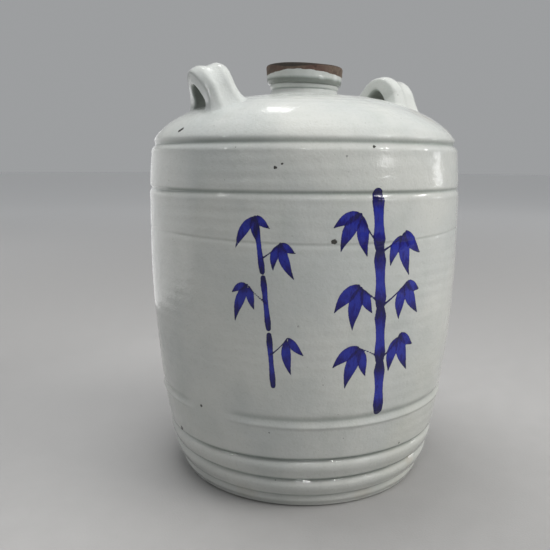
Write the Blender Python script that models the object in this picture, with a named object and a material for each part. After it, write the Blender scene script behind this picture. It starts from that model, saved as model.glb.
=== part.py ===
"""A large stoneware sake jar: a barrel-shaped body thrown in sections, a short neck with a rolled lip,
two pulled strap ears on the shoulder, and a tapered cedar bung.

Metres, +Z up. The origin is the centre of the foot, on the surface that the jar stands on. The ears lie
along X. The sections meet where the potter luted or creased them, GAP apart.
"""

import math

import bmesh
import bpy
import numpy as np
from mathutils import Matrix, Vector
from mathutils.geometry import interpolate_bezier

# Heights of the joins, from the foot up
BASE_TOP = 0.012
DRUM_SEAM = 0.237
SHOULDER_CREASE = 0.317
SHOULDER_TOP = 0.3622
NECK_TOP = 0.3728
LIP_TOP = 0.3906

# Outer outlines as (radius, height) Bezier curves: point, handle, handle, point
FOOT_TO_BELLY = ((0.1192, 0.0), (0.1377, 0.0264), (0.150, 0.1436), (0.150, 0.225))
BELLY_TO_CREASE = ((0.150, 0.225), (0.150, 0.254), (0.1503, 0.290), (0.146, SHOULDER_CREASE))
SHOULDER = ((0.146, SHOULDER_CREASE), (0.1414, 0.3367), (0.0941, 0.3634), (0.0355, SHOULDER_TOP))

WALL = 0.009
GAP = 0.0003
FOOT_CHAMFER = 0.002
CREASE_EASE = 0.0016  # how far each section's edge is rounded back where two sections meet
FLOOR_FILLET = 0.010

# Turned grooves: height, depth, half height
LOWER_GROOVES = ((0.031, 0.0022, 0.0028), (0.0495, 0.0022, 0.0028), (0.091, 0.0012, 0.0034))
UPPER_GROOVES = ((0.277, 0.0015, 0.0022),)

# Neck and lip
NECK_RADIUS = 0.0315
NECK_ROOT_RADIUS = 0.0350
LIP_RADIUS = 0.0366
LIP_ROLL = 0.0040
BORE_AT_LIP = 0.0235
BORE_AT_SHOULDER = 0.0215
LIP_SLANT = 0.040  # rise over run: the lip was trimmed a little out of level
SLANT_DIRECTION = math.radians(-29.0)  # the way that the lip falls, about +Z from +X

# Ears
EAR_RADIUS = 0.0930  # from the jar's axis to the middle of the strap, on the shoulder
EAR_FORWARD = math.radians(0.5)  # both ears were set a little towards -Y
EAR_WIDTH = 0.0300
EAR_THICKNESS = 0.0160
EAR_ROOT_THICKNESS = 0.0240
EAR_HALF_SPAN = 0.0212  # at the crown, to the middle of the strap's thickness
EAR_SPREAD = 0.27  # how much wider the legs stand at the roots
EAR_RISE = {"handle_left": 0.0257, "handle_right": 0.0240}
EAR_LEAN = 0.7  # how far an ear leans out with the shoulder's slope: 1 is square to it
EAR_TURN = {"handle_left": math.radians(-6.0), "handle_right": math.radians(5.0)}  # off square to the rim
EAR_ROOT_DEPTH = 0.014  # how far the legs run into the shoulder before they are cut to it
EAR_STATIONS = 22
EAR_RING = 14

# Bung
BUNG_TOP = 0.3915
BUNG_BOTTOM = 0.3665
BUNG_CHAMFER = 0.0020

BODY_SEGMENTS = 64
NECK_SEGMENTS = 48

GLAZE = ("white_glaze", (0.72, 0.74, 0.73), 0.16)
BARE_CLAY = ("bare_clay", (0.23, 0.13, 0.08), 0.75)
CEDAR = ("cedar", (0.50, 0.32, 0.18), 0.65)


def clear_scene():
    for obj in list(bpy.data.objects):
        bpy.data.objects.remove(obj, do_unlink=True)


def make_material(name, colour, roughness):
    material = bpy.data.materials.new(name)
    material.use_nodes = True
    shader = material.node_tree.nodes["Principled BSDF"]
    shader.inputs["Base Color"].default_value = (*colour, 1.0)
    shader.inputs["Roughness"].default_value = roughness
    shader.inputs["Metallic"].default_value = 0.0
    return material


def bezier(curve, count):
    """Points (radius, height) along one Bezier curve, both ends included."""
    return [tuple(point.xy) for point in interpolate_bezier(*[Vector(p) for p in curve], count)]


WALL_LINE = np.array(bezier(FOOT_TO_BELLY, 80) + bezier(BELLY_TO_CREASE, 40)[1:])
SHOULDER_LINE = np.array(bezier(SHOULDER, 80))


def wall_radius(height):
    return float(np.interp(height, WALL_LINE[:, 1], WALL_LINE[:, 0]))


def shoulder_height(radius):
    return float(np.interp(radius, SHOULDER_LINE[::-1, 0], SHOULDER_LINE[::-1, 1]))


def bore_radius(height):
    heights = (SHOULDER_TOP - WALL, LIP_TOP)
    return float(np.interp(height, heights, (BORE_AT_SHOULDER, BORE_AT_LIP)))


def arc(centre, radius, start_deg, end_deg, count):
    """Points on a circle's arc, both ends included, angles counted from +radius towards +height."""
    angles = np.radians(np.linspace(start_deg, end_deg, count))
    return [(centre[0] + radius * math.cos(a), centre[1] + radius * math.sin(a)) for a in angles]


def wall_outline(bottom, top, grooves):
    """The closed outline of a drum: up its grooved outer side, then down its plain inner side."""
    outer = {bottom: -CREASE_EASE, bottom + CREASE_EASE: 0.0, top: -CREASE_EASE, top - CREASE_EASE: 0.0}
    for height, depth, half in grooves:
        outer.update({height - half: 0.0, height: -depth, height + half: 0.0})
    for height in np.arange(bottom + 0.012, top - 0.006, 0.016):
        if all(abs(height - known) > 0.006 for known in outer):
            outer[float(height)] = 0.0
    up = [(wall_radius(h) + offset, h) for h, offset in sorted(outer.items())]
    inner_heights = np.linspace(top, bottom, max(3, round((top - bottom) / 0.04)))
    down = [(wall_radius(h) - WALL, float(h)) for h in inner_heights]
    return up + down


def with_floor_fillet(outline, bottom):
    """Swaps the outline's last point, the inner corner on the floor, for a fillet."""
    radius = outline[-1][0]
    corner = arc((radius - FLOOR_FILLET, bottom + FLOOR_FILLET), FLOOR_FILLET, 0, -90, 4)
    corner = [(min(r, wall_radius(z) - WALL), z) for r, z in corner[:-1]] + [corner[-1]]
    return outline[:-1] + corner


def shoulder_outline():
    """The closed outline of the shoulder, up over the outside and back along the underside."""
    bottom = SHOULDER_CREASE + GAP
    start = (wall_radius(SHOULDER_CREASE) - CREASE_EASE, bottom)
    crease = [start, (start[0] + CREASE_EASE * 0.75, bottom + CREASE_EASE)]
    over = [p for p in bezier(SHOULDER, 15) if p[1] > bottom + 2 * CREASE_EASE]
    top = [(bore_radius(SHOULDER_TOP), SHOULDER_TOP)]
    line = SHOULDER_LINE
    along = np.gradient(line, axis=0)
    normal = np.column_stack([along[:, 1], -along[:, 0]])
    normal /= np.linalg.norm(normal, axis=1)[:, None]
    under = (line - WALL * normal)[::-1]
    kept = [p for p in under if p[1] > bottom + 0.001 and p[0] > BORE_AT_SHOULDER + 0.004]
    under_points = [tuple(map(float, kept[i])) for i in np.linspace(0, len(kept) - 1, 9).astype(int)]
    mouth = [(BORE_AT_SHOULDER, SHOULDER_TOP - WALL)]
    foot = [(wall_radius(SHOULDER_CREASE) - WALL, bottom)]
    return crease + over + top + mouth + under_points + foot


def neck_outline():
    bottom = SHOULDER_TOP + GAP
    flare = [
        (NECK_ROOT_RADIUS, bottom),
        (NECK_RADIUS + 0.0012, bottom + 0.0022),
        (NECK_RADIUS + 0.0002, bottom + 0.0050),
        (NECK_RADIUS, NECK_TOP - 0.0045),
    ]
    return flare + [(NECK_RADIUS, NECK_TOP), (bore_radius(NECK_TOP), NECK_TOP), (bore_radius(bottom), bottom)]


def lip_outline():
    """The rolled lip: its underside turns out and up, and its top edge is rounded both ways."""
    bottom = NECK_TOP + GAP
    under = arc((LIP_RADIUS - LIP_ROLL, bottom + LIP_ROLL), LIP_ROLL, -80, 0, 5)
    over = arc((LIP_RADIUS - LIP_ROLL, LIP_TOP - LIP_ROLL), LIP_ROLL, 0, 90, 5)
    inner = arc((BORE_AT_LIP + 0.002, LIP_TOP - 0.002), 0.002, 90, 180, 3)
    start = (NECK_RADIUS + GAP, bottom)
    return [start] + under + over + inner + [(bore_radius(bottom), bottom)]


def base_outline():
    """An open outline from the axis to the axis: the flat foot, its edge, and the floor above it."""
    top = BASE_TOP
    return [
        (0.0, 0.0),
        (wall_radius(0.0) - FOOT_CHAMFER, 0.0),
        (wall_radius(FOOT_CHAMFER), FOOT_CHAMFER),
        (wall_radius(top * 0.5), top * 0.5),
        (wall_radius(top - CREASE_EASE), top - CREASE_EASE),
        (wall_radius(top) - CREASE_EASE, top),
        (0.0, top),
    ]


def bung_outline():
    top = bore_radius(BUNG_TOP) - GAP
    bottom = bore_radius(BUNG_BOTTOM) - GAP
    return [
        (0.0, BUNG_BOTTOM),
        (bottom - BUNG_CHAMFER * 0.5, BUNG_BOTTOM),
        (bottom, BUNG_BOTTOM + BUNG_CHAMFER * 0.5),
        (top, BUNG_TOP - BUNG_CHAMFER),
        (top - BUNG_CHAMFER, BUNG_TOP),
        (0.0, BUNG_TOP),
    ]


def turned_mesh(name, outline, segments, closed=True):
    """Spins an outline of (radius, height) points about the jar's axis."""
    shape = bmesh.new()
    points = [shape.verts.new((radius, 0.0, height)) for radius, height in outline]
    pairs = list(zip(points, points[1:]))
    if closed:
        pairs.append((points[-1], points[0]))
    edges = [shape.edges.new(pair) for pair in pairs]
    bmesh.ops.spin(
        shape,
        geom=points + edges,
        cent=(0, 0, 0),
        axis=(0, 0, 1),
        angle=math.tau,
        steps=segments,
        use_merge=True,
    )
    bmesh.ops.remove_doubles(shape, verts=shape.verts, dist=0.00001)
    return to_mesh(name, shape)


def to_mesh(name, shape):
    bmesh.ops.recalc_face_normals(shape, faces=shape.faces)
    mesh = bpy.data.meshes.new(name)
    shape.to_mesh(mesh)
    shape.free()
    mesh.shade_smooth()
    mesh.set_sharp_from_angle(angle=math.radians(35))
    return mesh


def add_object(name, mesh, material, parent=None):
    obj = bpy.data.objects.new(name, mesh)
    bpy.context.scene.collection.objects.link(obj)
    if material:
        mesh.materials.append(material)
    if parent:
        obj.parent = parent
    return obj


def slant(mesh):
    """Tips the neck and lip: heights fall towards SLANT_DIRECTION, fully at the lip, not at the root."""
    for vertex in mesh.vertices:
        x, y, z = vertex.co
        share = min(1.0, max(0.0, (z - SHOULDER_TOP - GAP) / (NECK_TOP - SHOULDER_TOP - GAP)))
        run = x * math.cos(SLANT_DIRECTION) + y * math.sin(SLANT_DIRECTION)
        vertex.co.z = z - LIP_SLANT * share * run


def ear_path(rise):
    """The middle line of the strap: (sideways, up, thickness) stations from one root to the other."""
    stations = []
    overrun = math.radians(1)
    for angle in np.linspace(-overrun, math.pi + overrun, EAR_STATIONS):
        height = math.sin(angle)
        share = max(0.0, height)
        sideways = EAR_HALF_SPAN * math.cos(angle) * (1 + EAR_SPREAD * (1 - share))
        thickness = EAR_ROOT_THICKNESS + (EAR_THICKNESS - EAR_ROOT_THICKNESS) * share
        stations.append((sideways, rise * height, thickness))
    first, last = stations[0], stations[-1]
    lean = EAR_ROOT_DEPTH * 0.25
    below_first = (first[0] + lean, first[1] - EAR_ROOT_DEPTH, first[2])
    below_last = (last[0] - lean, last[1] - EAR_ROOT_DEPTH, last[2])
    return [below_first] + stations + [below_last]


def ear_mesh(name, rise):
    """A strap bent into an arch in the local XZ plane, its width along local Y."""
    shape = bmesh.new()
    stations = ear_path(rise)
    middle = np.array([(s[0], s[1]) for s in stations])
    tangent = np.gradient(middle, axis=0)
    tangent /= np.linalg.norm(tangent, axis=1)[:, None]
    rings = []
    for (sideways, up, thickness), (along_x, along_z) in zip(stations, tangent):
        ring = []
        for angle in np.linspace(0, math.tau, EAR_RING, endpoint=False):
            c, s = math.cos(angle), math.sin(angle)
            across = EAR_WIDTH / 2 * math.copysign(abs(c) ** 0.55, c)
            out = thickness / 2 * math.copysign(abs(s) ** 0.75, s)
            ring.append(shape.verts.new((sideways + out * along_z, across, up - out * along_x)))
        rings.append(ring)
    for ring, following in zip(rings, rings[1:]):
        for i in range(EAR_RING):
            j = (i + 1) % EAR_RING
            shape.faces.new((ring[i], ring[j], following[j], following[i]))
    shape.faces.new(rings[0])
    shape.faces.new(rings[-1])
    return to_mesh(name, shape)


def make_shoulder_cutter():
    """The solid under the shoulder's outer skin, GAP proud of it, which cuts the ears' roots to shape."""
    rim = wall_radius(SHOULDER_CREASE)
    over = [p for p in bezier(SHOULDER, 15) if p[1] > SHOULDER_CREASE + 2 * CREASE_EASE]
    raised = [(radius, height + 2 * GAP) for radius, height in over]
    floor = SHOULDER_CREASE - 0.03
    outline = [(0.0, floor), (rim, floor), (rim, SHOULDER_CREASE)] + raised + [(0.0, SHOULDER_TOP + 2 * GAP)]
    mesh = turned_mesh("shoulder_cutter", outline, BODY_SEGMENTS, closed=False)
    cutter = add_object("shoulder_cutter", mesh, None)
    cutter.hide_render = True
    cutter.display_type = "WIRE"
    return cutter


def add_ear(name, angle, material, cutter, parent):
    """Stands a strap ear on the shoulder, its hole pointing outwards, and cuts its roots."""
    slope = math.atan2(
        shoulder_height(EAR_RADIUS + 0.012) - shoulder_height(EAR_RADIUS - 0.012),
        0.024,
    )
    ear = add_object(name, ear_mesh(name, EAR_RISE[name]), material, parent)
    # Local Y, the strap's width, points outwards and down the slope.
    turn = Matrix.Rotation(angle - math.pi / 2, 4, "Z")
    off_square = Matrix.Rotation(EAR_TURN[name], 4, "Z")
    tip = Matrix.Rotation(EAR_LEAN * slope, 4, "X")
    place = Matrix.Translation((0.0, EAR_RADIUS, shoulder_height(EAR_RADIUS)))
    ear.matrix_local = turn @ place @ off_square @ tip
    cut = ear.modifiers.new("roots", "BOOLEAN")
    cut.operation = "DIFFERENCE"
    cut.solver = "EXACT"
    cut.object = cutter
    return ear


def build():
    clear_scene()
    glaze = make_material(*GLAZE)
    clay = make_material(*BARE_CLAY)
    cedar = make_material(*CEDAR)

    jar = bpy.data.objects.new("jar", None)
    bung_axis = bpy.data.objects.new("bung_axis", None)
    for empty in (jar, bung_axis):
        bpy.context.scene.collection.objects.link(empty)
    bung_axis.parent = jar

    add_object("base", turned_mesh("base", base_outline(), BODY_SEGMENTS, closed=False), glaze, jar)

    lower = wall_outline(BASE_TOP + GAP, DRUM_SEAM, LOWER_GROOVES)
    lower = with_floor_fillet(lower, BASE_TOP + GAP)
    add_object("lower_wall", turned_mesh("lower_wall", lower, BODY_SEGMENTS), glaze, jar)

    upper = wall_outline(DRUM_SEAM + GAP, SHOULDER_CREASE, UPPER_GROOVES)
    add_object("upper_wall", turned_mesh("upper_wall", upper, BODY_SEGMENTS), glaze, jar)

    add_object("shoulder", turned_mesh("shoulder", shoulder_outline(), BODY_SEGMENTS), glaze, jar)

    neck = turned_mesh("neck", neck_outline(), NECK_SEGMENTS)
    slant(neck)
    add_object("neck", neck, glaze, jar)

    lip = turned_mesh("rolled_lip", lip_outline(), NECK_SEGMENTS)
    slant(lip)
    add_object("rolled_lip", lip, clay, jar)

    cutter = make_shoulder_cutter()
    add_ear("handle_left", math.pi + EAR_FORWARD, glaze, cutter, jar)
    add_ear("handle_right", -EAR_FORWARD, glaze, cutter, jar)

    bung = turned_mesh("stopper", bung_outline(), NECK_SEGMENTS, closed=False)
    add_object("stopper", bung, cedar, bung_axis)


build()
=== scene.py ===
"""The looks of a large stoneware sake jar: thrown walls under a glossy feldspar glaze, turned grooves,
smeared strap ears, a bare rolled lip, two bamboo sprays in cobalt, and a cedar bung.

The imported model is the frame. Every CAD node is replaced by a finer mesh in the same place.
"""

import math

import bpy
import numpy as np
from mathutils import Matrix, Vector
from mathutils.geometry import interpolate_bezier


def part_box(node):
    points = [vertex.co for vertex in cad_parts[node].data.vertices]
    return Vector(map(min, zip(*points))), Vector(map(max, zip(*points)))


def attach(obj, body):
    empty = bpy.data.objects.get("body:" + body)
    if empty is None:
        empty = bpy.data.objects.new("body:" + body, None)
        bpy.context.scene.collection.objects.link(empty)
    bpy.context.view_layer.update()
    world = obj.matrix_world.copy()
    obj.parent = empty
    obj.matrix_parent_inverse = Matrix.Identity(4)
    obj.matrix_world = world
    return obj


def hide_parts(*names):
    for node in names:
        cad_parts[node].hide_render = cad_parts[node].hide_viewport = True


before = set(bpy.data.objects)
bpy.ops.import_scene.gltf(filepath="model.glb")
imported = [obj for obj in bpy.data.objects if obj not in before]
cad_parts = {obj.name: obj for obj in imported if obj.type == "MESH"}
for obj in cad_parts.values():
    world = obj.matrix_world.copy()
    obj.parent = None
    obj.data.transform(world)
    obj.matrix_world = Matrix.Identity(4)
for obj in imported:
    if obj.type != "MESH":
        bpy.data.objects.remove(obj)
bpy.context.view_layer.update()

# ---- places, from the frame

BASE_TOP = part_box("base")[1].z
DRUM_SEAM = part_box("lower_wall")[1].z
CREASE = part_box("upper_wall")[1].z
SHOULDER_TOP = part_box("shoulder")[1].z
BUNG_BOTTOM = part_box("stopper")[0].z
BUNG_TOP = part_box("stopper")[1].z

# ---- the jar's outlines, as in the CAD model

FOOT_TO_BELLY = ((0.1192, 0.0), (0.1377, 0.0264), (0.150, 0.1436), (0.150, 0.225))
BELLY_TO_CREASE = ((0.150, 0.225), (0.150, 0.254), (0.1503, 0.290), (0.146, 0.317))
SHOULDER = ((0.146, 0.317), (0.1414, 0.3367), (0.0941, 0.3634), (0.0355, 0.3622))
WALL = 0.009
FOOT_ROUND = 0.0022
FOOT_RING = 0.018  # width of the flat ring that the jar stands on
FOOT_HOLLOW = 0.0012
UNDERSIDE_POINTS, FOOT_POINTS = 3, 12
INSET = 0.0004  # keeps the uneven surface inside the CAD model's box

# Spacing of the mesh: degrees round the jar, metres up it
FRONT_FROM, FRONT_TO = -152.0, -64.0
FRONT_STEP, BACK_STEP = 0.30, 1.2
ROW_SPACING, GROOVE_SPACING, GROOVE_REACH = 0.0012, 0.0004, 0.005
PROFILE_STEP = 0.0004
RING_PITCH = 0.0105  # from one throwing ring to the next
LINING_RING_PITCH = 0.014

# Neck, lip and bore
NECK_TOP = 0.3728
NECK_MOUTH = 0.3752  # where the neck ends, inside the lip
BORE_AT_LIP, BORE_AT_SHOULDER = 0.0235, 0.0215
LIP_TOP = 0.3906
LIP_SLANT = 0.040
SLANT_DIRECTION = math.radians(-29.0)

# Ears
EAR_RADIUS = 0.0930
EAR_FORWARD = math.radians(0.5)
EAR_WIDTH = 0.0325
EAR_THICKNESS, EAR_ROOT_THICKNESS = 0.0160, 0.0245
EAR_HALF_SPAN = 0.0212
EAR_SPREAD = 0.27
EAR_RISE = {"handle_left": 0.0257, "handle_right": 0.0240}
EAR_LEAN = 0.7  # how far an ear leans out with the shoulder's slope: 1 is square to it
EAR_TURN = {"handle_left": math.radians(-6.0), "handle_right": math.radians(5.0)}  # off square to the rim
EAR_BULGE = 0.0016  # how far its crown swells outwards

# The camera, seen from the jar: degrees about +Z from the front, metres, degrees
CAMERA_AZIMUTH = -29.0
CAMERA_DISTANCE = 0.6502
CAMERA_HEIGHT = 0.3040
CAMERA_PITCH = 10.19
CAMERA_HEADING = 2.41
CAMERA_ROLL = 0.28
CAMERA_LENS = 42.37


def smooth(value):
    """Eases 0 to 1, flat at both ends."""
    value = np.clip(value, 0.0, 1.0)
    return value * value * (3 - 2 * value)


def bezier(curve, count):
    return [tuple(point.xy) for point in interpolate_bezier(*[Vector(p) for p in curve], count)]


def arc(centre, radius, start_deg, end_deg, count):
    angles = np.radians(np.linspace(start_deg, end_deg, count))
    return [(centre[0] + radius * math.cos(a), centre[1] + radius * math.sin(a)) for a in angles]


def ripples(seed, count, turns, wavelength):
    """Smooth noise about -1 to 1 over (angle, distance), a sum of waves that close round the jar."""
    random = np.random.default_rng(seed)
    around = random.integers(-turns, turns + 1, count)
    along = random.uniform(-1, 1, count) * math.tau / wavelength
    phase = random.uniform(0, math.tau, count)

    def field(angle, distance):
        total = np.zeros(np.broadcast(angle, distance).shape)
        for a, b, p in zip(around, along, phase):
            total += np.cos(a * angle + b * distance + p)
        return total / math.sqrt(count)

    return field


# ---- the outer skin of the body


class Profile:
    """A line of (radius, height) points that is walked by its length, with its outward normals."""

    def __init__(self, points, blur):
        fine = np.array(points, float)
        steps = np.hypot(*np.diff(fine, axis=0).T)
        self.length = np.concatenate([[0.0], np.cumsum(steps)])
        self.points = fine
        even = np.arange(0.0, self.length[-1], PROFILE_STEP)
        line = np.column_stack([np.interp(even, self.length, fine[:, k]) for k in (0, 1)])
        tangent = np.gradient(line, axis=0)
        normal = np.column_stack([tangent[:, 1], -tangent[:, 0]])
        window = np.hanning(2 * int(blur / PROFILE_STEP) + 3)
        padded = np.pad(normal, ((len(window) // 2,) * 2, (0, 0)), mode="edge")
        normal = np.column_stack([np.convolve(padded[:, k], window, "valid") for k in (0, 1)])
        self.even = even
        self.normals = normal / np.linalg.norm(normal, axis=1)[:, None]

    def at(self, distance):
        point = [np.interp(distance, self.length, self.points[:, k]) for k in (0, 1)]
        normal = [np.interp(distance, self.even, self.normals[:, k]) for k in (0, 1)]
        return point, normal


WALL_LINE = bezier(FOOT_TO_BELLY, 160) + bezier(BELLY_TO_CREASE, 80)[1:]
SHOULDER_LINE = bezier(SHOULDER, 160)
WALL_HEIGHTS = np.array(WALL_LINE)[:, 1]
WALL_RADII = np.array(WALL_LINE)[:, 0]


def wall_radius(height):
    return np.interp(height, WALL_HEIGHTS, WALL_RADII)


def shoulder_height(radius):
    line = np.array(SHOULDER_LINE)[::-1]
    return np.interp(radius, line[:, 0], line[:, 1])


def body_profile():
    """From the middle of the underside, out to the foot, up the wall and over the shoulder to the neck."""
    foot = float(wall_radius(FOOT_ROUND)) - FOOT_ROUND
    under = [(0.004, FOOT_HOLLOW), (foot - FOOT_RING - 0.004, FOOT_HOLLOW), (foot - FOOT_RING, 0.0)]
    edge = arc((foot, FOOT_ROUND), FOOT_ROUND, -90, 0, FOOT_POINTS)
    wall = [p for p in WALL_LINE if p[1] > FOOT_ROUND]
    return Profile(under + edge + wall + SHOULDER_LINE[1:], blur=0.003)


BODY = body_profile()


def up_wall(height):
    """How far along the body's profile a height on the wall lies."""
    start = UNDERSIDE_POINTS + FOOT_POINTS
    return float(np.interp(height, BODY.points[start:, 1], BODY.length[start:]))


class Groove:
    """A turned line round the jar: a cut that is steep above and swells out below, and an optional ridge."""

    def __init__(self, along, depth, above, below, wander, seed, pool_and_shade_darkness, ridge=(0.0, 0.0, 1.0)):
        self.along = along
        self.pool_and_shade_darkness = pool_and_shade_darkness
        self.depth = depth
        self.above = above
        self.below = below
        self.wander = wander
        self.ridge = ridge
        self.path = ripples(seed, 5, 3, 1.0)
        self.fading = ripples(seed + 50, 6, 4, 1.0)

    def apart(self, angle, distance):
        return distance - self.along - self.wander * self.path(angle, 0.0)

    def strength(self, angle):
        return 1.0 + 0.16 * self.fading(angle, 0.0)

    def offset(self, angle, distance):
        apart = self.apart(angle, distance)
        above = 1 - smooth(apart / self.above)
        rounded = np.hypot(apart, 0.4 * self.above) - 0.4 * self.above
        below = np.clip(1 - rounded / self.below, 0, 1) ** 2.1
        total = -self.depth * self.strength(angle) * np.where(apart > 0, above, below)
        height, drop, half = self.ridge
        return total + height * self.strength(angle) * np.exp(-(((apart + drop) / half) ** 2))

    def pool(self, angle, distance):
        """How dark the cut is: glaze that pools in it, and painted shade where the cut turns down: strength,
        and half width.
        """
        strength, half = self.pool_and_shade_darkness
        apart = self.apart(angle, distance) - 0.35 * half
        return strength * np.exp(-((apart / half) ** 2)) * self.strength(angle)


class SpiralGroove(Groove):
    """A line whose two ends miss each other: it fades out for a few degrees."""

    GAP_MIDDLE = math.radians(-154.0)
    GAP_HALF = math.radians(9.0)

    def strength(self, angle):
        away = np.abs((angle - self.GAP_MIDDLE + math.pi) % math.tau - math.pi)
        return super().strength(angle) * smooth(away / self.GAP_HALF - 0.6)


# The clay that swells out under a foot groove: how far out, how far down, half its width
PILLOW = (0.0013, 0.0085, 0.0056)
# The darkness of each cut, the pair after the seed, is glaze pooling with painted shade in it.
GROOVES = (
    Groove(up_wall(BASE_TOP), 0.0024, 0.0022, 0.0056, 0.0003, 1, (1.2, 0.0016), (0.0005, 0.0060, 0.0030)),
    Groove(up_wall(0.0303), 0.0030, 0.0020, 0.0050, 0.0005, 2, (1.4, 0.0021), PILLOW),
    Groove(up_wall(0.0489), 0.0030, 0.0020, 0.0050, 0.0006, 3, (1.4, 0.0021), PILLOW),
    SpiralGroove(up_wall(0.0885), 0.0011, 0.0060, 0.0030, 0.0008, 4, (0.5, 0.0032), (0.0009, 0.0056, 0.0013)),
    Groove(up_wall(0.2405), 0.0005, 0.0022, 0.0035, 0.0022, 5, (0.22, 0.0012)),
    Groove(up_wall(0.277), 0.0013, 0.0028, 0.0050, 0.0004, 6, (1.0, 0.0020), (0.0003, 0.0050, 0.0030)),
    Groove(up_wall(CREASE), 0.0022, 0.0050, 0.0048, 0.0003, 7, (0.82, 0.0024), (0.0003, 0.0060, 0.0030)),
)

out_of_round = ripples(11, 6, 3, 0.30)
swell = ripples(12, 10, 4, 0.09)
ring_drift = ripples(13, 6, 3, 0.12)
ring_strength = ripples(14, 8, 5, 0.06)
glaze_flow = ripples(15, 60, 60, 0.016)


def body_offset(angle, distance):
    """How far the fired skin stands off the drawn outline, along its normal."""
    rings = np.sin(math.tau * distance / RING_PITCH + angle + 1.4 * ring_drift(angle, distance))
    total = -INSET + 0.00022 * np.clip(out_of_round(angle, distance), -1.6, 1.6)
    total += 0.00010 * np.clip(swell(angle, distance), -1.6, 1.6)
    total += 0.00007 * rings * (0.7 + 0.5 * ring_strength(angle, distance))
    total += 0.00003 * glaze_flow(angle, distance)
    for groove in GROOVES:
        total += groove.offset(angle, distance)
    steady = smooth((distance - FOOT_END) / 0.006)
    return total * steady - INSET * (1 - steady) * smooth((distance - FOOT_START) / 0.002)


FOOT_START = float(BODY.length[UNDERSIDE_POINTS - 1])
FOOT_END = float(BODY.length[UNDERSIDE_POINTS + FOOT_POINTS - 1])


def columns():
    front = np.arange(FRONT_FROM, FRONT_TO, FRONT_STEP)
    back = np.linspace(FRONT_TO, FRONT_FROM + 360.0, int((360 - FRONT_TO + FRONT_FROM) / BACK_STEP) + 1)
    return np.radians(np.concatenate([front, back[:-1]])), len(front)


def graded(start, stop, centres):
    """Distances from start to stop, closer together near each centre."""
    samples = np.linspace(start, stop, 4000)
    spacing = np.full(len(samples), ROW_SPACING)
    for centre in centres:
        near = smooth(np.abs(samples - centre) / GROOVE_REACH)
        spacing = np.minimum(spacing, GROOVE_SPACING + (ROW_SPACING - GROOVE_SPACING) * near)
    count = np.concatenate([[0.0], np.cumsum(np.diff(samples) / spacing[1:])])
    return np.interp(np.linspace(0, count[-1], math.ceil(count[-1]) + 1), count, samples)


ANGLES, FRONT_COLUMNS = columns()


def around(radius, height, angles=ANGLES):
    """Points on circles about the jar's axis: rows by columns by three."""
    shape = np.broadcast(radius, height, angles).shape
    radius = np.broadcast_to(radius, shape)
    height = np.broadcast_to(height, shape)
    return np.stack([radius * np.cos(angles), radius * np.sin(angles), height], axis=-1)


def grid_normals(points):
    """Outward normals of a grid whose columns close round the jar."""
    across = np.roll(points, -1, axis=1) - np.roll(points, 1, axis=1)
    up = np.gradient(points, axis=0)
    normal = np.cross(across, up)
    return normal / np.maximum(np.linalg.norm(normal, axis=2), 1e-12)[..., None]


def skin(rows):
    """The body's outer surface at these distances along its profile, and where glaze pools and shade is
    painted on it.
    """
    distance = rows[:, None]
    (radius, height), (out, up) = BODY.at(distance)
    offset = body_offset(ANGLES, distance)
    pool = np.zeros(offset.shape)
    for groove in GROOVES:
        pool = np.maximum(pool, groove.pool(ANGLES, distance))
    return around(radius + out * offset, height + up * offset), pool


def lining(rows):
    """The inside surface, a wall's thickness in, with the finger rings that nobody smoothed."""
    distance = rows[:, None]
    (radius, height), (out, up) = BODY.at(distance)
    depth = WALL + 0.0004 * np.sin(math.tau * distance / LINING_RING_PITCH + ANGLES)
    return around(radius - out * depth, height - up * depth)


# ---- meshes from grids


def grid_faces(rows, columns, close_rows, close_columns):
    """Quads over a grid, as vertex numbers, and the row that each quad starts on."""
    row = np.arange(rows if close_rows else rows - 1)
    column = np.arange(columns if close_columns else columns - 1)
    i, j = np.meshgrid(row, column, indexing="ij")
    up, right = (i + 1) % rows, (j + 1) % columns
    quads = np.stack([i * columns + j, i * columns + right, up * columns + right, up * columns + j], axis=-1)
    return quads.reshape(-1, 4).tolist(), i.ravel()


def grid_object(
    name, points, normals=None, values=None, close_rows=True, close_columns=True, caps=None, slots=None
):
    """A mesh over a grid of points. values are named numbers at each point. caps closes 'rows' or 'columns'.
    slots gives each row of faces its material's number."""
    rows, columns = points.shape[:2]
    faces, face_rows = grid_faces(rows, columns, close_rows, close_columns)
    numbers = np.arange(rows * columns).reshape(rows, columns)
    ends = []
    if caps == "rows":
        ends = [numbers[0, ::-1].tolist(), numbers[-1].tolist()]
    if caps == "columns":
        ends = [numbers[:, 0].tolist(), numbers[::-1, -1].tolist()]
    mesh = bpy.data.meshes.new(name)
    mesh.from_pydata(points.reshape(-1, 3).tolist(), [], faces + ends)
    mesh.shade_smooth()
    if slots is not None:
        numbers_of = np.concatenate([np.asarray(slots)[face_rows], np.zeros(len(ends), int)])
        mesh.polygons.foreach_set("material_index", numbers_of.astype(np.int32))
    for key, value in (values or {}).items():
        layer = mesh.attributes.new(key, "FLOAT", "POINT")
        layer.data.foreach_set("value", np.broadcast_to(value, (rows, columns)).astype(np.float32).ravel())
    if normals is not None:
        mesh.normals_split_custom_set_from_vertices(normals.reshape(-1, 3).tolist())
    obj = bpy.data.objects.new(name, mesh)
    bpy.context.scene.collection.objects.link(obj)
    return obj


def part_of_jar(obj, node, materials, body="jar"):
    for material in materials:
        obj.data.materials.append(material)
    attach(obj, body)
    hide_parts(node)
    return obj


# ---- the brushwork: bamboo in cobalt

INK_RADIUS = 0.148  # the brushwork is laid out on a cylinder of this radius
INK_OFF = -0.006  # how far from a stroke the ink values stop mattering
LEAF_CURL = 0.12  # how far a leaf bows to one side, for its length


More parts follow.
